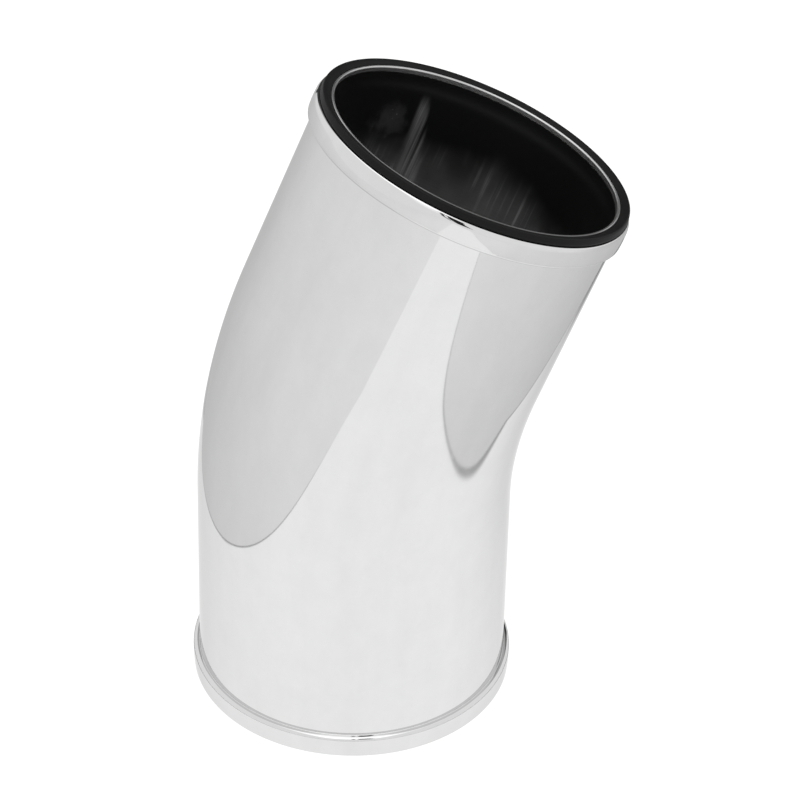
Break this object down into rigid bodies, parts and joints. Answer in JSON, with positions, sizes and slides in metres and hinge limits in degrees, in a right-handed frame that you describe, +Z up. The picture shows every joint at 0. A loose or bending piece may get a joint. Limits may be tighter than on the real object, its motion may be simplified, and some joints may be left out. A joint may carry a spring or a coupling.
{
  "type": "flue elbow",
  "caption": "Double-wall flue elbow with a shallow smooth bend, a polished casing, a black-coated liner, a collar at each end and a bead gasket at the upper mouth.",
  "frame": {"origin": "middle of the elbow's bounding box, on the surface that the lower collar stands on", "axes": "+Z up along the lower leg, +X the way the bend leans, the XZ plane is the elbow's plane of symmetry, -Y the front"},
  "size_m": [0.2178, 0.1664, 0.3352],
  "materials": {
    "casing_polish": "polished to a near mirror",
    "collar_polish": "polished",
    "lip_polish": "bright rounded edge",
    "liner_coating": "black heat-resistant coating, satin, scuffed lengthwise",
    "gasket_rubber": "smooth black rubber with a soft sheen",
    "inner_steel": "plain mill finish"
  },
  "bodies": {
    "root": {"casing_front_half": "casing_polish", "casing_back_half": "casing_polish", "lower_collar": "collar_polish", "upper_collar": "collar_polish", "liner_lower_leg": "liner_coating", "liner_bend_front_half": "liner_coating", "liner_bend_back_half": "liner_coating", "liner_upper_leg": "liner_coating", "liner_lip_ring": "lip_polish", "upper_gasket": "gasket_rubber", "lower_seat_ring": "inner_steel", "upper_seat_ring": "inner_steel", "lower_liner_joint_band": "inner_steel", "upper_liner_joint_band": "inner_steel", "inner_seam_strip": "inner_steel", "outer_seam_strip": "inner_steel", "lower_spacer_clip_1": "inner_steel", "lower_spacer_clip_2": "inner_steel", "lower_spacer_clip_3": "inner_steel", "middle_spacer_clip_1": "inner_steel", "middle_spacer_clip_2": "inner_steel", "middle_spacer_clip_3": "inner_steel", "upper_spacer_clip_1": "inner_steel", "upper_spacer_clip_2": "inner_steel", "upper_spacer_clip_3": "inner_steel"}
  },
  "joints": []
}
